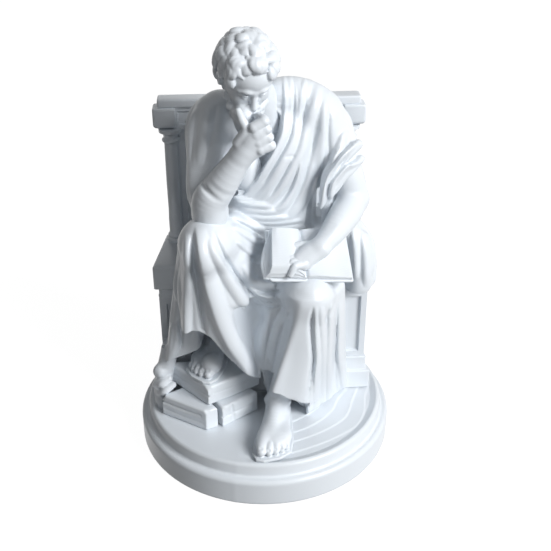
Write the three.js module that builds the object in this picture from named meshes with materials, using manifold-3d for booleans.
// Seated philosopher figurine: a robed thinker in a column-backed chair, on a round two-step base.
// Millimetres, +Z up. The figure faces -Y, and "left" and "right" are the figure's own sides.
// The origin is the centre of the underside. Every piece is a separate solid, glued to its neighbours.
import * as THREE from "three";
import { mergeVertices } from "three/addons/utils/BufferGeometryUtils.js";
import Module from "manifold-3d";

const wasm = await Module();
wasm.setup();

// Glue line between two pieces, and the facets of round shapes
const GLUE_GAP = 0.3;
const ROUND_SIDES = 72;
const COLUMN_SIDES = 24;
const LIMB_SIDES = 12;
const LIMB_STEPS = 6;
const TOE_SIDES = 8;
const FOLD_SIDES = 10;
const PAGE_SEGMENTS = 5;
const DRAPE_SIDES = 36;
const BALL_SIDES = 18;
const LOCK_SIDES = 8;

// Base: a plinth ring with a smaller ground disc let into its top
const BASE_RADIUS = 50;
const PLINTH_HEIGHT = 11;
const PLINTH_EDGE = 1.2;
const GROUND_RADIUS = 47;
const GROUND_THICKNESS = 5.25;
const GROUND_EDGE = 1.5;
const SPIGOT_RADIUS = 24;
const SPIGOT_DEPTH = 4;

// Chair: a plan that narrows towards the back, from the moulded foot up to the crest
const CHAIR_FRONT_HALF = 40;
const CHAIR_BACK_HALF = 36;
const CHAIR_FRONT_Y = 0;
const CHAIR_DEPTH = 25;
const CHAIR_FOOT_HEIGHT = 8;
const CHAIR_FOOT_LEDGE = 2.2;
const CHAIR_STEP_HEIGHT = 6;
const CHAIR_SIDE_HEIGHT = 30;
const CHAIR_SIDE_WIDTH = 7;
const PANEL_MARGIN = 3.2;
const PANEL_RECESS = 0.8;
const SEAT_MOULD_HEIGHT = 5;
const SEAT_THICKNESS = 9.5;
const SEAT_LEDGE = 1.4;
const BACK_HEIGHT = 46;
const BACK_THICKNESS = 3;
const COLUMN_RADIUS = 2.5;
const COLUMN_RING = 0.8;
const COLUMN_RING_HEIGHT = 2;
const COLUMN_INSET = 3;
const CREST_HEIGHT = 8;
const CREST_THICKNESS = 7.5;
const CREST_BLOCK_WIDTH = 8.5;
const CREST_LEDGE = 3;
const CREST_CAP_HEIGHT = 3.2;
const CREST_CAP_INSET = 2;

// Footrest: a squared stone laid across two others; plans run round from the pile's near corner
const FOOTREST_X = -23.6;
const FOOTREST_Y = -25.9;
const LOWER_STONE_HEIGHT = 9.3;
const UPPER_STONE_HEIGHT = 8.5;
const LONG_STONE_PLAN = [[0, 0], [4.4, 2], [-6, 18], [-17.1, 11.5]];
const SPLIT_STONE_PLAN = [[6.2, 1.6], [20, 11.4], [8, 22], [-4.2, 19.2]];
const UPPER_STONE_PLAN = [[1.1, 3.3], [21, 15], [9, 22.9], [-14.5, 21.2]];

// Figure: limb and cloth thicknesses, half-widths of the trunk, and heights of the joints
const HIP_RISE = 9;
const TRUNK_LENGTH = 53;
const HIP_HALF = 18.5;
const CHEST_HALF = 20;
const TRUNK_THICKNESS = 12.5;
const SHOULDER_HALF = 20;
const LEFT_KNEE_HEIGHT = 58.6;
const RIGHT_KNEE_HEIGHT = 62;
const ANKLE_HEIGHT = 9;
const FOOT_LENGTH = 27;
const FOOT_HALF_WIDTH = 5;
const TOE_RADIUS = 1.6;
const ANKLE_RADIUS = 4;
const KNEE_RADIUS = 9.5;
const THIGH_RADIUS = 11.5;
const SLEEVE_RADIUS = 8.2;
const ELBOW_RADIUS = 5.6;
const WRIST_RADIUS = 3.6;
const FINGER_RADIUS = 1.45;
const FINGER_LENGTH = 9;
const THUMB_ROOT = 2.4;
const NECK_RADIUS = 6.2;
const HEAD_HALF_WIDTH = 9.6;
const HEAD_HALF_HEIGHT = 11;
const HEAD_BOW = 34;
const HEAD_TURN = 16;
const HEAD_FORWARD = 17;
const HEAD_RISE = 14.5;
const FOLD_RADIUS = 3.4;
const FOLD_COUNT = 4;
const MANTLE_FOLD_RADIUS = 2.2;
const MANTLE_FOLD_COUNT = 5;
const NECK_OPENING_RADIUS = 3.2;
const ROBE_FOLD_RADIUS = 2.8;

// Locks of hair in rows over the skull: [count, rise, first and last turn from the brow], in degrees
const LOCK_RADIUS = 2.4;
const HAIR_ROWS = [
  [6, 72, 0, 300],
  [9, 42, 30, 330],
  [9, 15, 58, 302],
  [7, -12, 95, 265],
  [5, -36, 120, 240],
];

// Places of the joints, from the seat's front edge, the pile's near corner and the joint before them
const HIP_ASIDE = 1;
const HIP_SETBACK = 7;
const WAIST_LEAN = 6;
const CHEST_LEAN = 9;
const COLLAR_LEAN = 8;
const SHOULDER_LEAN = 7;
const HEAD_ASIDE = 5.8;
const LEFT_KNEE_ASIDE = 14.5;
const LEFT_KNEE_REACH = 27;
const LEFT_ANKLE_ASIDE = 2.8;
const LEFT_ANKLE_REACH = 25;
const RIGHT_KNEE_ASIDE = 3;
const RIGHT_ANKLE_ASIDE = 4.2;
const RIGHT_ANKLE_BACK = 26;
const RIGHT_WRIST_ASIDE = 2;
const RIGHT_WRIST_REACH = 9.5;
const RIGHT_WRIST_DROP = 22.2;
const LEFT_ELBOW_ASIDE = 31;
const LEFT_ELBOW_REACH = 11;
const BOOK_ASIDE = 2.5;
const BOOK_BACK = 5.2;
const BOOK_LIFT = 4;
const LEFT_WRIST_ASIDE = 6;
const LEFT_WRIST_REACH = 3;
const LEFT_WRIST_LIFT = 4.6;

// Open book on the lap
const PAGE_WIDTH = 16.5;
const PAGE_LENGTH = 18.5;
const PAGE_THICKNESS = 2.6;
const COVER_THICKNESS = 1;
const COVER_MARGIN = 0.9;
const BOOK_SLOPE = 33;
const BOOK_ROLL = 7;
const BOOK_TURN = 8;

// Heights that follow from the sizes above
const GROUND = PLINTH_HEIGHT + GROUND_THICKNESS;
const SIDE_BOTTOM = GROUND + CHAIR_FOOT_HEIGHT + CHAIR_STEP_HEIGHT;
const SIDE_TOP = SIDE_BOTTOM + CHAIR_SIDE_HEIGHT;
const SEAT_BOTTOM = SIDE_TOP + SEAT_MOULD_HEIGHT;
const SEAT_TOP = SEAT_BOTTOM + SEAT_THICKNESS;
const BACK_TOP = SEAT_TOP + BACK_HEIGHT;
const CREST_TOP = BACK_TOP + CREST_HEIGHT;
const CHAIR_BACK_Y = CHAIR_FRONT_Y + CHAIR_DEPTH;
const FOOTREST_TOP = GROUND + LOWER_STONE_HEIGHT + UPPER_STONE_HEIGHT;

const at = (x, y, z) => new THREE.Vector3(x, y, z);
const radians = THREE.MathUtils.degToRad;
const mix = THREE.MathUtils.lerp;

// Joints of the body, each set from what carries it
const HIP = at(HIP_ASIDE, CHAIR_FRONT_Y + HIP_SETBACK, SEAT_TOP + HIP_RISE);
const WAIST = HIP.clone().add(at(0, -WAIST_LEAN, 0.24 * TRUNK_LENGTH));
const CHEST = HIP.clone().add(at(0, -CHEST_LEAN, 0.66 * TRUNK_LENGTH));
const COLLAR = HIP.clone().add(at(-HIP_ASIDE, -COLLAR_LEAN, TRUNK_LENGTH));
const RIGHT_SHOULDER = HIP.clone().add(at(HIP_ASIDE - SHOULDER_HALF, -SHOULDER_LEAN, 0.9 * TRUNK_LENGTH));
const LEFT_SHOULDER = HIP.clone().add(at(HIP_ASIDE + SHOULDER_HALF, -SHOULDER_LEAN, 0.88 * TRUNK_LENGTH));
const HEAD = COLLAR.clone().add(at(-HEAD_ASIDE, -HEAD_FORWARD, HEAD_RISE));
const RIGHT_ANKLE = at(
  FOOTREST_X + RIGHT_ANKLE_ASIDE,
  FOOTREST_Y + RIGHT_ANKLE_BACK,
  FOOTREST_TOP + ANKLE_HEIGHT,
);
const RIGHT_KNEE = at(FOOTREST_X + RIGHT_KNEE_ASIDE, FOOTREST_Y, FOOTREST_TOP + RIGHT_KNEE_HEIGHT);
const LEFT_ANKLE = at(LEFT_ANKLE_ASIDE, CHAIR_FRONT_Y - LEFT_ANKLE_REACH, GROUND + ANKLE_HEIGHT);
const LEFT_KNEE = at(LEFT_KNEE_ASIDE, CHAIR_FRONT_Y - LEFT_KNEE_REACH, GROUND + LEFT_KNEE_HEIGHT);
const RIGHT_ELBOW = RIGHT_KNEE.clone().add(at(0, 2, KNEE_RADIUS + 2));
const RIGHT_WRIST = HEAD.clone().add(at(-RIGHT_WRIST_ASIDE, -RIGHT_WRIST_REACH, -RIGHT_WRIST_DROP));
const LEFT_ELBOW = HIP.clone().add(at(LEFT_ELBOW_ASIDE, -LEFT_ELBOW_REACH, 0.32 * TRUNK_LENGTH));
const BOOK = LEFT_KNEE.clone().add(at(-BOOK_ASIDE, BOOK_BACK, KNEE_RADIUS + BOOK_LIFT));
const LEFT_WRIST = BOOK.clone().add(at(LEFT_WRIST_ASIDE, -LEFT_WRIST_REACH, LEFT_WRIST_LIFT));

// A mesh's triangles as a solid that can be joined and cut, and back again
function solidOf(geometry) {
  const bare = new THREE.BufferGeometry();
  bare.setAttribute("position", geometry.getAttribute("position"));
  if (geometry.index) bare.setIndex(geometry.index);
  const merged = mergeVertices(bare, 1e-4);
  const mesh = new wasm.Mesh({
    numProp: 3,
    vertProperties: new Float32Array(merged.attributes.position.array),
    triVerts: new Uint32Array(merged.index.array),
  });
  return new wasm.Manifold(mesh);
}

function geometryOf(solid) {
  const { vertProperties, triVerts } = solid.getMesh();
  const geometry = new THREE.BufferGeometry();
  geometry.setAttribute("position", new THREE.BufferAttribute(vertProperties, 3));
  geometry.setIndex(new THREE.BufferAttribute(triVerts, 1));
  geometry.computeVertexNormals();
  return geometry;
}

const join = (...solids) => solids.reduce((sum, solid) => sum.add(solid));

// The biggest closed body of a solid, without crumbs that a cut leaves behind
function mainBody(solid) {
  const bodies = solid.decompose();
  return bodies.reduce((best, body) => (body.volume() > best.volume() ? body : best));
}

// Closed skin over a stack of rings with the same number of points, from the first ring to the last
function skin(rings) {
  const sides = rings[0].length;
  const positions = rings.flat().flatMap((p) => [p.x, p.y, p.z]);
  const faces = [];
  for (let r = 0; r + 1 < rings.length; r++) {
    for (let s = 0; s < sides; s++) {
      const a = r * sides + s;
      const b = r * sides + ((s + 1) % sides);
      faces.push(a, b, b + sides, a, b + sides, a + sides);
    }
  }
  for (const [ring, turn] of [[0, 1], [rings.length - 1, -1]]) {
    const middle = positions.length / 3;
    const centre = rings[ring].reduce((sum, p) => sum.add(p), at(0, 0, 0)).divideScalar(sides);
    positions.push(centre.x, centre.y, centre.z);
    for (let s = 0; s < sides; s++) {
      const a = ring * sides + s;
      const b = ring * sides + ((s + 1) % sides);
      faces.push(middle, turn > 0 ? b : a, turn > 0 ? a : b);
    }
  }
  const geometry = new THREE.BufferGeometry();
  geometry.setAttribute("position", new THREE.Float32BufferAttribute(positions, 3));
  geometry.setIndex(faces);
  return solidOf(geometry);
}

// Rounded tube along a smooth line; radii run from the first point to the last, grown by grow.
// Its rings are set out from the direction aside, which the line never runs along.
function limb(points, radii, grow = 0, { sides = LIMB_SIDES, aside = at(1, 0.2, 0.1) } = {}) {
  const curve = new THREE.CatmullRomCurve3(points, false, "centripetal");
  const radiusAt = (t) => {
    const place = t * (radii.length - 1);
    const low = Math.min(Math.floor(place), radii.length - 2);
    return mix(radii[low], radii[low + 1], place - low) + grow;
  };
  const ringAt = (centre, tangent, radius) => {
    const across = new THREE.Vector3().crossVectors(tangent, aside).normalize();
    const over = new THREE.Vector3().crossVectors(across, tangent).normalize();
    return Array.from({ length: sides }, (_, s) => {
      const angle = (-2 * Math.PI * s) / sides;
      return centre
        .clone()
        .addScaledVector(across, radius * Math.cos(angle))
        .addScaledVector(over, radius * Math.sin(angle));
    });
  };
  const dome = [80, 50, 22].map(radians);
  const rings = [];
  const start = curve.getTangent(0);
  for (const angle of dome) {
    const back = curve.getPoint(0).addScaledVector(start, -radiusAt(0) * Math.sin(angle));
    rings.push(ringAt(back, start, radiusAt(0) * Math.cos(angle)));
  }
  const steps = points.length > 2 ? LIMB_STEPS : 1;
  for (let k = 0; k <= steps; k++) {
    const t = k / steps;
    rings.push(ringAt(curve.getPoint(t), curve.getTangent(t), radiusAt(t)));
  }
  const end = curve.getTangent(1);
  for (const angle of dome.toReversed()) {
    const ahead = curve.getPoint(1).addScaledVector(end, radiusAt(1) * Math.sin(angle));
    rings.push(ringAt(ahead, end, radiusAt(1) * Math.cos(angle)));
  }
  return skin(rings);
}

// Ball stretched to three radii, turned by a matrix where one is given
function ball(centre, [rx, ry, rz], grow = 0, { turn = null, sides = BALL_SIDES } = {}) {
  const geometry = new THREE.SphereGeometry(1, sides, sides / 2);
  geometry.scale(rx + grow, ry + grow, rz + grow);
  if (turn) geometry.applyMatrix4(turn);
  geometry.translate(centre.x, centre.y, centre.z);
  return solidOf(geometry);
}

// Hanging cloth: level oval rings [centre, half-width, half-depth], rippled by folds that deepen downwards
function drape(levels, { folds = 0, depth = 0, phase = 0 } = {}, grow = 0) {
  const last = levels.length - 1;
  const rings = levels.map(([centre, halfWidth, halfDepth], k) => {
    const lift = k === 0 ? grow : k === last ? -grow : 0;
    const ripple = depth * (k / last);
    return Array.from({ length: DRAPE_SIDES }, (_, s) => {
      const angle = (-2 * Math.PI * s) / DRAPE_SIDES;
      const swell = ripple * Math.cos(folds * angle + phase);
      return at(
        centre.x + (halfWidth + grow + swell) * Math.cos(angle),
        centre.y + (halfDepth + grow + swell) * Math.sin(angle),
        centre.z + lift,
      );
    });
  });
  return skin(rings);
}

// Line down the front of hanging cloth through [x, z] places, sunk below its face
function frontLine(levels, places, sink) {
  return places.map(([x, z]) => {
    const below = Math.max(1, levels.findIndex(([centre]) => centre.z <= z));
    const [top, topWidth, topDepth] = levels[below - 1];
    const [low, lowWidth, lowDepth] = levels[below];
    const share = (top.z - z) / (top.z - low.z);
    const centre = top.clone().lerp(low, share);
    const across = THREE.MathUtils.clamp((x - centre.x) / mix(topWidth, lowWidth, share), -0.95, 0.95);
    const out = mix(topDepth, lowDepth, share) * Math.sqrt(1 - across * across);
    return at(x, centre.y - out + sink, z);
  });
}

// What lies below a slanting hem of [x, z] corners, between two depths
function underHem(corners, front, back, grow = 0) {
  const foot = GROUND - FOLD_RADIUS;
  const outline = new THREE.Shape([
    ...corners.map(([x, z]) => new THREE.Vector2(x, z + grow)),
    new THREE.Vector2(corners.at(-1)[0], foot),
    new THREE.Vector2(corners[0][0], foot),
  ]);
  const geometry = new THREE.ExtrudeGeometry(outline, { depth: back - front, bevelEnabled: false });
  geometry.rotateX(Math.PI / 2);
  geometry.translate(0, back, 0);
  return solidOf(geometry);
}

// Turned shape about a vertical axis; the profile is [radius, height] pairs from the bottom up
function turned(profile, grow = 0, { x = 0, y = 0, sides = ROUND_SIDES } = {}) {
  const last = profile.length - 1;
  const points = profile.map(([radius, height], k) => {
    const lift = k <= 1 ? -grow : k >= last - 1 ? grow : 0;
    return new THREE.Vector2(radius > 0 ? radius + grow : 0, height + lift);
  });
  const geometry = new THREE.LatheGeometry(points, sides);
  geometry.rotateX(Math.PI / 2);
  geometry.translate(x, y, 0);
  return solidOf(geometry);
}

// Upright block over a four-cornered plan: half-widths at its front and back edges
function block({ frontHalf, backHalf, front, back, low, high, x = 0 }, grow = 0) {
  const plan = new THREE.Shape([
    new THREE.Vector2(x - frontHalf - grow, front - grow),
    new THREE.Vector2(x + frontHalf + grow, front - grow),
    new THREE.Vector2(x + backHalf + grow, back + grow),
    new THREE.Vector2(x - backHalf - grow, back + grow),
  ]);
  const geometry = new THREE.ExtrudeGeometry(plan, { depth: high - low + 2 * grow, bevelEnabled: false });
  geometry.translate(0, 0, low - grow);
  return solidOf(geometry);
}

// Half-width of the chair's plan at a given y
const chairHalf = (y) => mix(CHAIR_FRONT_HALF, CHAIR_BACK_HALF, (y - CHAIR_FRONT_Y) / CHAIR_DEPTH);

function chairBlock(ledge, low, high, grow) {
  return block({
    frontHalf: CHAIR_FRONT_HALF + ledge,
    backHalf: CHAIR_BACK_HALF + ledge,
    front: CHAIR_FRONT_Y - ledge,
    back: CHAIR_BACK_Y + Math.min(ledge, 0.5),
    low,
    high,
  }, grow);
}

// Base
function plinthRing(grow = 0) {
  const outer = turned([
    [0, 0],
    [BASE_RADIUS - PLINTH_EDGE, 0],
    [BASE_RADIUS, PLINTH_EDGE],
    [BASE_RADIUS, PLINTH_HEIGHT - PLINTH_EDGE],
    [BASE_RADIUS - PLINTH_EDGE, PLINTH_HEIGHT],
    [0, PLINTH_HEIGHT],
  ], grow);
  const recess = SPIGOT_DEPTH + GLUE_GAP;
  const spigotSocket = turned([
    [0, PLINTH_HEIGHT - recess + grow],
    [SPIGOT_RADIUS + GLUE_GAP - grow, PLINTH_HEIGHT - recess + grow],
    [SPIGOT_RADIUS + GLUE_GAP - grow, PLINTH_HEIGHT + recess],
    [0, PLINTH_HEIGHT + recess],
  ]);
  return outer.subtract(spigotSocket);
}

function groundDisc(grow = 0) {
  const disc = turned([
    [0, PLINTH_HEIGHT],
    [GROUND_RADIUS, PLINTH_HEIGHT],
    [GROUND_RADIUS, GROUND - GROUND_EDGE],
    [GROUND_RADIUS - GROUND_EDGE, GROUND],
    [0, GROUND],
  ], grow);
  const spigot = turned([
    [0, PLINTH_HEIGHT - SPIGOT_DEPTH],
    [SPIGOT_RADIUS, PLINTH_HEIGHT - SPIGOT_DEPTH],
    [SPIGOT_RADIUS, PLINTH_HEIGHT + GROUND_EDGE],
    [0, PLINTH_HEIGHT + GROUND_EDGE],
  ], grow);
  return join(disc, spigot);
}

// Chair
const chairFoot = (grow = 0) => join(
  chairBlock(CHAIR_FOOT_LEDGE, GROUND, GROUND + CHAIR_FOOT_HEIGHT, grow),
  chairBlock(CHAIR_FOOT_LEDGE / 3, GROUND, SIDE_BOTTOM, grow),
);

// One side of the chair under the seat, with a sunk panel in its front and outer faces
function chairSide(hand, grow = 0) {
  const inner = CHAIR_BACK_HALF - CHAIR_SIDE_WIDTH;
  const outline = (frontHalf, backHalf, front, back, low, high) => {
    const near = hand > 0 ? [inner, frontHalf, inner, backHalf] : [-frontHalf, -inner, -backHalf, -inner];
    const plan = new THREE.Shape([
      new THREE.Vector2(near[0], front),
      new THREE.Vector2(near[1], front),
      new THREE.Vector2(near[3], back),
      new THREE.Vector2(near[2], back),
    ]);
    const geometry = new THREE.ExtrudeGeometry(plan, { depth: high - low, bevelEnabled: false });
    geometry.translate(0, 0, low);
    return solidOf(geometry);
  };
  const body = outline(
    CHAIR_FRONT_HALF + grow,
    CHAIR_BACK_HALF + grow,
    CHAIR_FRONT_Y - grow,
    CHAIR_BACK_Y + grow,
    SIDE_BOTTOM - grow,
    SIDE_TOP + grow,
  );
  if (grow > 0) return body;
  const face = block({
    x: hand * (CHAIR_FRONT_HALF + inner) / 2,
    frontHalf: (CHAIR_FRONT_HALF - inner) / 2 - PANEL_MARGIN / 2,
    backHalf: (CHAIR_FRONT_HALF - inner) / 2 - PANEL_MARGIN / 2,
    front: CHAIR_FRONT_Y - PANEL_RECESS,
    back: CHAIR_FRONT_Y + PANEL_RECESS,
    low: SIDE_BOTTOM + PANEL_MARGIN / 2,
    high: SIDE_TOP - PANEL_MARGIN / 2,
  });
  const frontMargin = CHAIR_FRONT_Y + PANEL_MARGIN;
  const backMargin = CHAIR_BACK_Y - PANEL_MARGIN;
  const flank = outline(
    chairHalf(frontMargin) + CHAIR_SIDE_WIDTH,
    chairHalf(backMargin) + CHAIR_SIDE_WIDTH,
    frontMargin,
    backMargin,
    SIDE_BOTTOM + PANEL_MARGIN,
    SIDE_TOP - PANEL_MARGIN,
  ).subtract(outline(
    chairHalf(frontMargin) - PANEL_RECESS,
    chairHalf(backMargin) - PANEL_RECESS,
    frontMargin - PANEL_MARGIN,
    backMargin + PANEL_MARGIN,
    SIDE_BOTTOM,
    SIDE_TOP,
  ));
  return body.subtract(face).subtract(flank);
}

const chairRearPanel = (grow = 0) => block({
  frontHalf: CHAIR_BACK_HALF - CHAIR_SIDE_WIDTH,
  backHalf: CHAIR_BACK_HALF - CHAIR_SIDE_WIDTH,
  front: CHAIR_BACK_Y - BACK_THICKNESS,
  back: CHAIR_BACK_Y,
  low: SIDE_BOTTOM,
  high: SIDE_TOP,
}, grow);

const chairSeat = (grow = 0) => join(
  chairBlock(0, SIDE_TOP, SEAT_BOTTOM + SEAT_LEDGE, grow),
  chairBlock(SEAT_LEDGE, SEAT_BOTTOM, SEAT_TOP, grow),
);

const COLUMN_X = CHAIR_BACK_HALF - COLUMN_INSET;
const COLUMN_Y = CHAIR_BACK_Y - COLUMN_INSET - BACK_THICKNESS / 2;

function chairColumn(hand, grow = 0) {
  const ringRadius = COLUMN_RADIUS + COLUMN_RING;
  return turned([
    [0, SEAT_TOP],
    [ringRadius, SEAT_TOP],
    [ringRadius, SEAT_TOP + COLUMN_RING_HEIGHT],
    [COLUMN_RADIUS, SEAT_TOP + COLUMN_RING_HEIGHT + COLUMN_RING],
    [COLUMN_RADIUS, BACK_TOP - 2 * COLUMN_RING_HEIGHT],
    [ringRadius, BACK_TOP - COLUMN_RING_HEIGHT],
    [ringRadius, BACK_TOP],
    [0, BACK_TOP],
  ], grow, { x: hand * COLUMN_X, y: COLUMN_Y, sides: COLUMN_SIDES });
}

const chairBackPanel = (grow = 0) => block({
  frontHalf: CHAIR_BACK_HALF - CREST_LEDGE,
  backHalf: CHAIR_BACK_HALF - CREST_LEDGE,
  front: CHAIR_BACK_Y - BACK_THICKNESS,
  back: CHAIR_BACK_Y,
  low: SEAT_TOP,
  high: BACK_TOP,
}, grow);

// Crest rail: a bar set back between two square end blocks
function crestRail(grow = 0) {
  const half = CHAIR_BACK_HALF + CREST_LEDGE;
  const front = CHAIR_BACK_Y - CREST_THICKNESS;
  const rail = block({
    frontHalf: half - 1,
    backHalf: half - 1,
    front: front + PANEL_RECESS * 2,
    back: CHAIR_BACK_Y,
    low: BACK_TOP,
    high: CREST_TOP,
  }, grow);
  const ends = [-1, 1].map((hand) => block({
    x: hand * (half - CREST_BLOCK_WIDTH / 2),
    frontHalf: CREST_BLOCK_WIDTH / 2,
    backHalf: CREST_BLOCK_WIDTH / 2,
    front,
    back: CHAIR_BACK_Y,
    low: BACK_TOP,
    high: CREST_TOP,
  }, grow));
  return join(rail, ...ends);
}

const crestCap = (grow = 0) => block({
  frontHalf: CHAIR_BACK_HALF + CREST_LEDGE - CREST_CAP_INSET,
  backHalf: CHAIR_BACK_HALF + CREST_LEDGE - CREST_CAP_INSET,
  front: CHAIR_BACK_Y - CREST_THICKNESS + PANEL_RECESS,
  back: CHAIR_BACK_Y,
  low: CREST_TOP,
  high: CREST_TOP + CREST_CAP_HEIGHT,
}, grow);

// One footrest stone over its four-cornered plan, each corner pushed out from the middle by grow
function footrestStone(plan, low, high, grow = 0) {
  const corners = plan.map(([x, y]) => new THREE.Vector2(FOOTREST_X + x, FOOTREST_Y + y));
  const middle = corners.reduce((sum, p) => sum.add(p), new THREE.Vector2()).divideScalar(corners.length);
  const outward = corners.map((p) => p.clone().sub(middle).setLength(2 * grow).add(p));
  const outline = new THREE.Shape(grow > 0 ? outward : corners);
  const geometry = new THREE.ExtrudeGeometry(outline, { depth: high - low + 2 * grow, bevelEnabled: false });
  geometry.translate(0, 0, low - grow);
  return solidOf(geometry);
}

const LOWER_STONE_TOP = GROUND + LOWER_STONE_HEIGHT;
const longStone = (grow = 0) => footrestStone(LONG_STONE_PLAN, GROUND, LOWER_STONE_TOP, grow);
const splitStone = (grow = 0) => footrestStone(SPLIT_STONE_PLAN, GROUND, LOWER_STONE_TOP, grow);
const upperStone = (grow = 0) => footrestStone(UPPER_STONE_PLAN, LOWER_STONE_TOP, FOOTREST_TOP, grow);

// A bare foot: a wedge from heel to toes, five toes, and the ankle that runs up into the robe
function foot(ankle, sole, direction, grow = 0) {
  const ahead = direction.clone().normalize();
  const aside = at(-ahead.y, ahead.x, 0);
  const along = (share, lift, shift = 0) =>
    at(ankle.x, ankle.y, sole)
      .addScaledVector(ahead, share * FOOT_LENGTH)
      .addScaledVector(aside, shift)
      .add(at(0, 0, lift));
  const heel = limb([along(-0.12, 3.4), along(0.2, 3.8), along(0.5, 3.2)], [3.6, 4, 4.4], grow);
  const arch = limb([ankle, along(0.25, 5.6), along(0.55, 3)], [ANKLE_RADIUS, 4.2, 3.4], grow);
  const toes = [-2, -1, 0, 1, 2].map((toe) => {
    const shift = (toe * FOOT_HALF_WIDTH) / 2.6;
    const reach = 0.8 - 0.02 * toe * toe;
    const line = [along(0.42, 3, shift * 0.8), along(reach, 1.7, shift)];
    return limb(line, [TOE_RADIUS + 1.2, TOE_RADIUS], grow, { sides: TOE_SIDES });
  });
  const leg = limb([ankle, ankle.clone().add(at(0, 2, 12))], [ANKLE_RADIUS, ANKLE_RADIUS + 1], grow);
  return join(heel, arch, leg, ...toes);
}

const leftFoot = (grow = 0) => foot(LEFT_ANKLE, GROUND, at(-0.15, -1, 0), grow);
const rightFoot = (grow = 0) => foot(RIGHT_ANKLE, FOOTREST_TOP, at(-0.3, -1, 0), grow);

// Book: the spine runs up the slope of the lap, and the halves open to either side of it
const BOOK_TURN_MATRIX = new THREE.Matrix4()
  .makeTranslation(BOOK.x, BOOK.y, BOOK.z)
  .multiply(new THREE.Matrix4().makeRotationZ(radians(BOOK_TURN)))
  .multiply(new THREE.Matrix4().makeRotationY(radians(BOOK_ROLL)))
  .multiply(new THREE.Matrix4().makeRotationX(radians(BOOK_SLOPE)));

// Section across the open book, drawn in x and z, run along the spine
function bookPart(outline, length) {
  const settings = { depth: length, bevelEnabled: false, curveSegments: PAGE_SEGMENTS };
  const geometry = new THREE.ExtrudeGeometry(outline, settings);
  geometry.translate(0, 0, -length / 2);
  geometry.rotateX(Math.PI / 2);
  geometry.applyMatrix4(BOOK_TURN_MATRIX);
  return solidOf(geometry);
}

function bookCover(grow = 0) {
  const half = PAGE_WIDTH + COVER_MARGIN + grow;
  const outline = new THREE.Shape();
  outline.moveTo(-half, grow);
  outline.lineTo(-half, -COVER_THICKNESS - grow);
  outline.lineTo(half, -COVER_THICKNESS - grow);
  outline.lineTo(half, grow);
  outline.closePath();
  return bookPart(outline, PAGE_LENGTH + 2 * COVER_MARGIN + 2 * grow);
}

function bookPages(grow = 0) {
  const half = PAGE_WIDTH + grow;
  const top = PAGE_THICKNESS + grow;
  const outline = new THREE.Shape();
  outline.moveTo(-half, -grow);
  outline.lineTo(half, -grow);
  outline.lineTo(half, top * 0.55);
  outline.quadraticCurveTo(half * 0.45, top * 1.6, 0, top * 0.5);
  outline.quadraticCurveTo(-half * 0.45, top * 1.6, -half, top * 0.55);
  outline.closePath();
  return bookPart(outline, PAGE_LENGTH + 2 * grow);
}

// Head: skull, face, and locks of hair and beard, turned and bowed about the top of the neck
const HEAD_TURN_MATRIX = new THREE.Matrix4()
  .makeRotationZ(radians(HEAD_TURN))
  .multiply(new THREE.Matrix4().makeRotationX(radians(HEAD_BOW)));

function head(grow = 0) {
  const inHead = (x, y, z) => at(x, y, z).applyMatrix4(HEAD_TURN_MATRIX).add(HEAD);
  const part = (x, y, z, radii, sides = BALL_SIDES) =>
    ball(inHead(x, y, z), radii, grow, { turn: HEAD_TURN_MATRIX, sides });
  const skull = part(0, 1.5, 1.6, [HEAD_HALF_WIDTH - 0.8, HEAD_HALF_WIDTH + 0.7, HEAD_HALF_HEIGHT - 1.2]);
  const face = part(0, -3.4, -3.4, [HEAD_HALF_WIDTH * 0.67, 5.8, HEAD_HALF_HEIGHT * 0.75]);
  const nose = part(0, -9.4, -2.6, [1.2, 1.8, 2.6], LOCK_SIDES);
  const locks = HAIR_ROWS.flatMap(([count, rise, first, last]) =>
    Array.from({ length: count }, (_, k) => {
      const turn = radians(mix(first, last, k / (count - 1)));
      const height = radians(rise);
      return part(
        (HEAD_HALF_WIDTH - 1.4) * Math.sin(turn) * Math.cos(height),
        1.5 - (HEAD_HALF_WIDTH + 0.1) * Math.cos(turn) * Math.cos(height),
        1.6 + (HEAD_HALF_HEIGHT - 1.8) * Math.sin(height),
        [LOCK_RADIUS, LOCK_RADIUS, LOCK_RADIUS],
        LOCK_SIDES,
      );
    }));
  const curls = [[6, -2, -6.4], [4.2, -5.8, -9], [1.6, -7, -10.8]].flatMap(([x, y, z]) =>
    [-1, 1].map((hand) => part(hand * x, y, z, [LOCK_RADIUS, LOCK_RADIUS, LOCK_RADIUS + 0.6], LOCK_SIDES)));
  const beardLine = [HEAD.clone().add(at(-1.2, -4, -12.2)), HEAD.clone().add(at(0.8, 1, -19.6))];
  const beard = limb(beardLine, [4, 2.6], grow);
  const nape = [inHead(0, 3, -4), COLLAR.clone().add(at(0, -1, -7))];
  const neck = limb(nape, [NECK_RADIUS, NECK_RADIUS + 0.6], grow);
  return join(skull, face, nose, beard, neck, ...locks, ...curls);
}

// Forearm from elbow to wrist, then the palm and four fingers that bend towards the fingertips
function handAndForearm(elbow, wrist, knuckles, tips, spread, grow = 0) {
  const line = [elbow, elbow.clone().lerp(wrist, 0.45), wrist];
  const arm = limb(line, [ELBOW_RADIUS, ELBOW_RADIUS, WRIST_RADIUS], grow);
  const palm = limb([wrist, wrist.clone().lerp(knuckles, 0.6), knuckles], [WRIST_RADIUS, 3.8, 3], grow);
  const fingers = [-1.5, -0.5, 0.5, 1.5].map((place) => {
    const root = knuckles.clone().addScaledVector(spread, place * FINGER_RADIUS * 1.5);
    const tip = tips.clone().addScaledVector(spread, place * FINGER_RADIUS * 1.8);
    return limb([root, tip], [FINGER_RADIUS * 1.2, FINGER_RADIUS], grow, { sides: TOE_SIDES });
  });
  return join(arm, palm, ...fingers);
}

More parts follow.
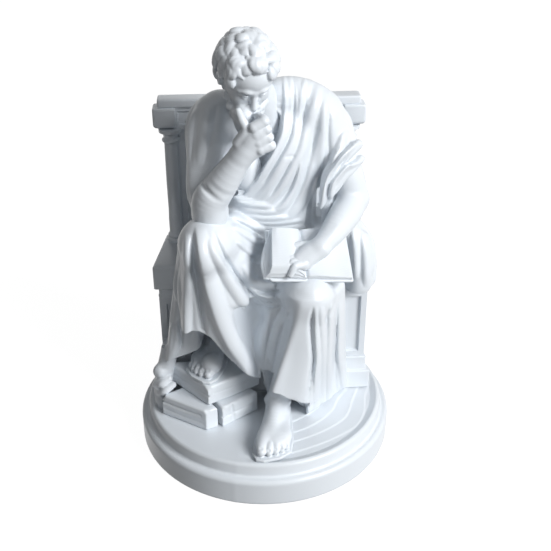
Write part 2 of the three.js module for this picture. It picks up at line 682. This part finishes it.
function rightForearm(grow = 0) {
  const knuckles = RIGHT_WRIST.clone().add(at(3.6, -1.5, 6));
  const tips = knuckles.clone().add(at(0.8, 0.3, 1).setLength(FINGER_LENGTH * 0.7));
  const hand = handAndForearm(RIGHT_ELBOW, RIGHT_WRIST, knuckles, tips, at(0.7, 0, -0.7), grow);
  const thumbLine = [RIGHT_WRIST, knuckles.clone().add(at(-5, 1, 3.5))];
  const thumb = limb(thumbLine, [THUMB_ROOT, FINGER_RADIUS], grow, { sides: TOE_SIDES });
  return join(hand, thumb);
}

function leftForearm(grow = 0) {
  const knuckles = LEFT_WRIST.clone().add(at(-6.5, -2.5, -0.5));
  const tips = knuckles.clone().add(at(-1, -0.45, -0.3).setLength(FINGER_LENGTH));
  const hand = handAndForearm(LEFT_ELBOW, LEFT_WRIST, knuckles, tips, at(0.35, -0.9, -0.2), grow);
  const upper = limb([LEFT_SHOULDER.clone().lerp(LEFT_ELBOW, 0.35), LEFT_ELBOW], [6.4, ELBOW_RADIUS], grow);
  const thumbLine = [LEFT_WRIST, knuckles.clone().add(at(0.5, 4, 1))];
  const thumb = limb(thumbLine, [THUMB_ROOT, FINGER_RADIUS], grow, { sides: TOE_SIDES });
  return join(hand, upper, thumb);
}

// Trunk under the wrapped cloth, with the mantle's folds fanned across the chest from the left shoulder
function torso(grow = 0) {
  const levels = [
    [COLLAR.clone().add(at(0, 0, 1)), NECK_RADIUS + 2, NECK_RADIUS + 1],
    [COLLAR.clone().add(at(0.5, 0, -4.5)), CHEST_HALF * 0.82, TRUNK_THICKNESS * 0.78],
    [COLLAR.clone().add(at(1, 0, -10)), CHEST_HALF + 1.5, TRUNK_THICKNESS * 0.95],
    [CHEST, CHEST_HALF, TRUNK_THICKNESS],
    [CHEST.clone().lerp(WAIST, 0.5), CHEST_HALF - 1.5, TRUNK_THICKNESS],
    [WAIST, HIP_HALF - 1, TRUNK_THICKNESS],
    [HIP, HIP_HALF, TRUNK_THICKNESS],
    [at(HIP.x, HIP.y, SEAT_TOP), HIP_HALF, TRUNK_THICKNESS - 1],
  ];
  const foldPlaces = (share) => [
    [mix(COLLAR.x + 5.5, LEFT_SHOULDER.x - 2, share), LEFT_SHOULDER.z + 1],
    [mix(CHEST.x + 2.6, LEFT_SHOULDER.x - 3.6, share), mix(CHEST.z, COLLAR.z, 0.3)],
    [mix(CHEST.x - 0.4, LEFT_SHOULDER.x - 4.8, share), CHEST.z],
    [mix(CHEST.x - 5.7, LEFT_SHOULDER.x - 7, share), mix(CHEST.z, WAIST.z, 0.42)],
    [mix(WAIST.x - 9, WAIST.x + 5, share), mix(WAIST.z + 10, WAIST.z - 2.5, share)],
  ];
  const folds = Array.from({ length: MANTLE_FOLD_COUNT }, (_, k) => {
    const line = frontLine(levels, foldPlaces(k / (MANTLE_FOLD_COUNT - 1)), 0.7);
    return limb(line, [MANTLE_FOLD_RADIUS, MANTLE_FOLD_RADIUS], grow, { sides: TOE_SIDES });
  });
  const neckPlaces = foldPlaces(-0.24).slice(0, -1);
  const neckOpening = [1.5, 5.5].map((sink) => {
    const radii = [NECK_OPENING_RADIUS, NECK_OPENING_RADIUS];
    return limb(frontLine(levels, neckPlaces, sink), radii, -grow, { sides: TOE_SIDES });
  });
  const bareChest = ball(CHEST.clone().add(at(-8, -7.6, -2.3)), [4.4, 4.4, 6.6], grow);
  const besideArm = drape([
    [at(LEFT_SHOULDER.x - 3, CHEST.y - 5.5, CHEST.z - 3), 1.2, 5],
    [at(LEFT_SHOULDER.x - 3.2, CHEST.y - 5.5, mix(CHEST.z, WAIST.z, 0.5)), 2.4, 7],
    [at(LEFT_SHOULDER.x - 3.4, CHEST.y - 5.5, WAIST.z - 4), 3.2, 7.5],
  ], {}, -grow);
  const trunk = drape(levels, {}, grow).subtract(join(...neckOpening));
  return join(trunk, bareChest, ...folds).subtract(besideArm);
}

// Cloth over each shoulder: from beside the neck, round the shoulder and down the arm
const BACK_AND_DOWN = at(0, 0.75, -0.65);

const rightSleeve = (grow = 0) => limb(
  [
    COLLAR.clone().add(at(-5, 2, -4)),
    RIGHT_SHOULDER.clone().add(at(1, 0, 0)),
    RIGHT_SHOULDER.clone().lerp(RIGHT_ELBOW, 0.5).add(at(-0.5, 1, 0)),
    RIGHT_ELBOW.clone().add(at(0, 5, 2)),
  ],
  [SLEEVE_RADIUS - 1, SLEEVE_RADIUS + 0.8, SLEEVE_RADIUS, SLEEVE_RADIUS - 1],
  grow,
  { aside: BACK_AND_DOWN },
);

const leftSleeve = (grow = 0) => limb(
  [
    COLLAR.clone().add(at(6, 3, 0)),
    LEFT_SHOULDER.clone().add(at(-3, 0, 1.5)),
    LEFT_SHOULDER.clone().lerp(LEFT_ELBOW, 0.35),
    LEFT_SHOULDER.clone().lerp(LEFT_ELBOW, 0.62),
  ],
  [SLEEVE_RADIUS - 1, SLEEVE_RADIUS + 0.8, SLEEVE_RADIUS + 0.6, SLEEVE_RADIUS - 0.6],
  grow,
  { aside: BACK_AND_DOWN },
);

// Robe over the lap and legs: both thighs, the fall from each knee, slings between the knees,
// a flat stretch over the left shin, folds down the right leg and beside the left, and a
// slanting hem with a hollow over each foot
function robe(grow = 0) {
  const hipAside = HIP_HALF - THIGH_RADIUS;
  const thigh = (hand, knee, kneeRadius) => limb(
    [HIP.clone().add(at(hand * hipAside, -2, 0)), knee],
    [THIGH_RADIUS, kneeRadius],
    grow,
  );
  const fallLevels = (knee, levels) => levels.map(([share, x, y, halfWidth, halfDepth]) =>
    [at(knee.x + x, knee.y + y, mix(knee.z, GROUND, share)), halfWidth, halfDepth]);
  const rightLevels = fallLevels(RIGHT_KNEE, [
    [0, 0, 2, KNEE_RADIUS - 1, KNEE_RADIUS - 1.5],
    [0.2, 1.5, 3, KNEE_RADIUS + 1, KNEE_RADIUS],
    [0.48, 4.5, 6, KNEE_RADIUS + 4, KNEE_RADIUS - 0.5],
    [0.7, 11, 9.5, KNEE_RADIUS, KNEE_RADIUS - 1.5],
    [0.86, 16.4, 10.1, KNEE_RADIUS - 4.5, KNEE_RADIUS - 3.5],
  ]);
  const leftLevels = fallLevels(LEFT_KNEE, [
    [0, 0.8, 0.4, KNEE_RADIUS - 2.5, KNEE_RADIUS - 1.2],
    [0.22, 0.5, 1.7, KNEE_RADIUS - 2.2, KNEE_RADIUS - 1],
    [0.42, -1, 3.2, KNEE_RADIUS - 1.3, KNEE_RADIUS - 0.9],
    [0.7, -4.1, 5.2, KNEE_RADIUS + 0.3, KNEE_RADIUS - 0.2],
    [0.82, -4.7, 6, KNEE_RADIUS + 0.9, KNEE_RADIUS + 0.3],
  ]);
  const middle = RIGHT_KNEE.clone().lerp(LEFT_KNEE, 0.55);
  const web = drape([
    [at(middle.x, HIP.y - 14, HIP.z), HIP_HALF, THIGH_RADIUS],
    [at(middle.x + 0.7, middle.y + 13.5, mix(HIP.z, GROUND, 0.3)), HIP_HALF - 1, THIGH_RADIUS - 1.3],
    [at(middle.x + 2, middle.y + 15.5, mix(HIP.z, GROUND, 0.58)), HIP_HALF - 1, THIGH_RADIUS - 2.5],
    [at(middle.x + 3, middle.y + 19, GROUND + ANKLE_HEIGHT / 2), HIP_HALF - 3.5, THIGH_RADIUS - 3],
  ], {}, grow);
  const fromKnees = (right, left) => [
    ...right.map(([x, y, z]) => RIGHT_KNEE.clone().add(at(x, y, z))),
    ...left.map(([x, y, z]) => LEFT_KNEE.clone().add(at(x, y, z))),
  ];
  const upperSling = fromKnees([[8.6, 1.9, -8], [15.1, 3.9, -16.2]], [[-11.9, 6.2, 2], [-4.5, 4.2, 2.6]]);
  const lowerSling = fromKnees([[12.6, 5.9, -21], [19.1, 7.5, -25.4]], [[-10, 8.2, -4.2], [-4.5, 5.4, -2.2]]);
  const rightLegFolds = [
    [[-1.9, -4], [1.2, -15], [6, -30.8], [12.9, -48], [16, -54]],
    [[-6.8, -5], [-6.5, -16], [-6, -32]],
    [[2.2, 0], [5.6, -6.3], [9.4, -13.2], [12.2, -18.4]],
  ].map((places) => {
    const line = places.map(([x, z]) => [RIGHT_KNEE.x + x, RIGHT_KNEE.z + z]);
    const radii = [ROBE_FOLD_RADIUS, ROBE_FOLD_RADIUS];
    return limb(frontLine(rightLevels, line, 1), radii, grow, { sides: FOLD_SIDES });
  });
  const shinEdge = (places, radius) => limb(
    places.map(([x, y, z]) => LEFT_KNEE.clone().add(at(x, y, z))),
    [radius, radius],
    grow,
    { sides: FOLD_SIDES },
  );
  const shin = join(
    shinEdge([[-5.5, -5.6, -1], [-14.2, -5, -39]], 2),
    shinEdge([[-1.1, -2.6, -1], [-3.2, -0.6, -47]], 2),
    shinEdge([[1.5, 5, -1], [-0.5, 9, -47]], 4),
  ).hull();
  const hangingFolds = Array.from({ length: FOLD_COUNT }, (_, k) => {
    const share = k / (FOLD_COUNT - 1);
    const top = LEFT_KNEE.clone().add(at(mix(3, 13, share), mix(3, 14, share), 0));
    const foot = at(top.x + mix(1, 4, share), top.y + mix(9, 6, share), GROUND + FOLD_RADIUS + grow);
    return limb([top, foot], [FOLD_RADIUS, FOLD_RADIUS], grow, { sides: FOLD_SIDES });
  });
  const betweenLegs = drape(fallLevels(RIGHT_KNEE, [
    [0.32, 13.2, 2, 4.6, 6.5],
    [0.45, 16.7, 3, 6.8, 9],
    [0.55, 18.4, 3, 6, 9],
    [0.65, 19.5, 3, 4.6, 8.8],
    [0.78, 21.2, 3, 3, 8],
  ]), {}, -grow);
  const rightHem = underHem(
    [[-17.4, -33.4], [-3.5, -33.4], [0, -35.2], [5.9, -45.6], [14.4, -56.4], [19.1, -62], [21.6, -76]]
      .map(([x, z]) => [RIGHT_KNEE.x + x, RIGHT_KNEE.z + z]),
    RIGHT_KNEE.y - 2 * KNEE_RADIUS,
    CHAIR_FRONT_Y - 6,
    -grow,
  );
  const leftHem = underHem(
    [[-17.5, -34.6], [-10.9, -37.4], [-7.1, -41], [-2.3, -43.9], [0.5, -46.8]]
      .map(([x, z]) => [LEFT_KNEE.x + x, LEFT_KNEE.z + z]),
    LEFT_KNEE.y - 2 * KNEE_RADIUS,
    LEFT_KNEE.y + 13,
    -grow,
  );
  const rightHollow = drape(fallLevels(RIGHT_KNEE, [
    [0.35, 0, 4.4, 5, 5],
    [0.48, 0.6, 5.7, 7.2, 7],
    [0.65, 8.1, 8.9, 4.5, 6],
    [0.83, 11.6, 10.4, 3.5, 5],
  ]), {}, -grow);
  const leftHollow = drape(fallLevels(LEFT_KNEE, [
    [0.56, -6, 2.6, 5, 5],
    [0.7, -8, 2.8, 7.6, 7.2],
    [0.9, -9.5, 3, 8, 8],
  ]), {}, -grow);
  const cloth = join(
    thigh(-1, RIGHT_KNEE, KNEE_RADIUS),
    thigh(1, LEFT_KNEE, KNEE_RADIUS - 1.6),
    web,
    drape(rightLevels, {}, grow),
    drape(leftLevels, {}, grow),
    limb(upperSling, [5, 4, 4], grow),
    limb(lowerSling, [4, 3.6, 4], grow),
    shin,
    ...rightLegFolds,
    ...hangingFolds,
  );
  return cloth.subtract(join(betweenLegs, rightHem, leftHem, rightHollow, leftHollow));
}

// End of the mantle behind the right leg: down past the seat, and spread on the ground
const rightMantle = (grow = 0) => drape([
  [at(RIGHT_KNEE.x - 8, CHAIR_FRONT_Y - 9, SEAT_TOP + 6), 4, 6],
  [at(RIGHT_KNEE.x - 10.6, CHAIR_FRONT_Y - 8, SIDE_TOP), 3.8, 6],
  [at(RIGHT_KNEE.x - 12.2, CHAIR_FRONT_Y - 5.5, SIDE_BOTTOM + 12), 4, 4.5],
  [at(RIGHT_KNEE.x - 15, CHAIR_FRONT_Y - 5.5, SIDE_BOTTOM - 3), 5.5, 5],
  [at(RIGHT_KNEE.x - 18, CHAIR_FRONT_Y - 7, GROUND), 5, 6],
], { folds: 5, depth: 0.8, phase: 0 }, grow);

// Other end of the mantle: from under the left arm over the edge of the seat
const leftMantle = (grow = 0) => drape([
  [at(HIP.x + HIP_HALF + 9, HIP.y - 4, SEAT_TOP + 18), 5, 7],
  [at(CHAIR_FRONT_HALF - 5.5, HIP.y - 5, SEAT_TOP + 6), 6, 9],
  [at(CHAIR_FRONT_HALF - 4, CHAIR_FRONT_Y - 1, SEAT_BOTTOM + 2), 5.5, 7],
  [at(CHAIR_FRONT_HALF - 4.5, CHAIR_FRONT_Y - 2, SEAT_BOTTOM - 1), 5, 5.5],
], { folds: 5, depth: 0.8, phase: 0 }, grow);

// Pieces in the order they are put together: each later piece gives way to the ones before it
const PIECES = {
  base: { base_plinth: plinthRing, ground_disc: groundDisc },
  chair: {
    chair_foot: chairFoot,
    chair_side_right: (grow) => chairSide(-1, grow),
    chair_side_left: (grow) => chairSide(1, grow),
    chair_rear_panel: chairRearPanel,
    chair_seat: chairSeat,
    chair_back_panel: chairBackPanel,
    chair_column_right: (grow) => chairColumn(-1, grow),
    chair_column_left: (grow) => chairColumn(1, grow),
    crest_rail: crestRail,
    crest_cap: crestCap,
  },
  footrest: {
    footrest_stone_long: longStone,
    footrest_stone_split: splitStone,
    footrest_stone_top: upperStone,
  },
  figure: {
    left_foot: leftFoot,
    right_foot: rightFoot,
    book_cover: bookCover,
    book_pages: bookPages,
    head,
    right_forearm: rightForearm,
    left_forearm: leftForearm,
    torso,
    robe_skirt: robe,
    right_sleeve: rightSleeve,
    left_sleeve: leftSleeve,
    mantle_right: rightMantle,
    mantle_left: leftMantle,
  },
};

const white = () => new THREE.MeshStandardMaterial({ color: 0xeef1f4, roughness: 0.3, metalness: 0 });

function boxesMeet(a, b) {
  const p = a.boundingBox();
  const q = b.boundingBox();
  return [0, 1, 2].every((axis) => p.min[axis] < q.max[axis] && q.min[axis] < p.max[axis]);
}

const figurine = new THREE.Group();
const placed = [];
for (const [groupName, members] of Object.entries(PIECES)) {
  const group = new THREE.Group();
  group.name = `${groupName}_group`;
  for (const [name, shape] of Object.entries(members)) {
    let solid = shape(0);
    for (const keepOut of placed) {
      if (boxesMeet(solid, keepOut)) solid = solid.subtract(keepOut);
    }
    placed.push(shape(GLUE_GAP));
    const mesh = new THREE.Mesh(geometryOf(mainBody(solid)), white());
    mesh.name = name;
    group.add(mesh);
  }
  figurine.add(group);
}

export default figurine;
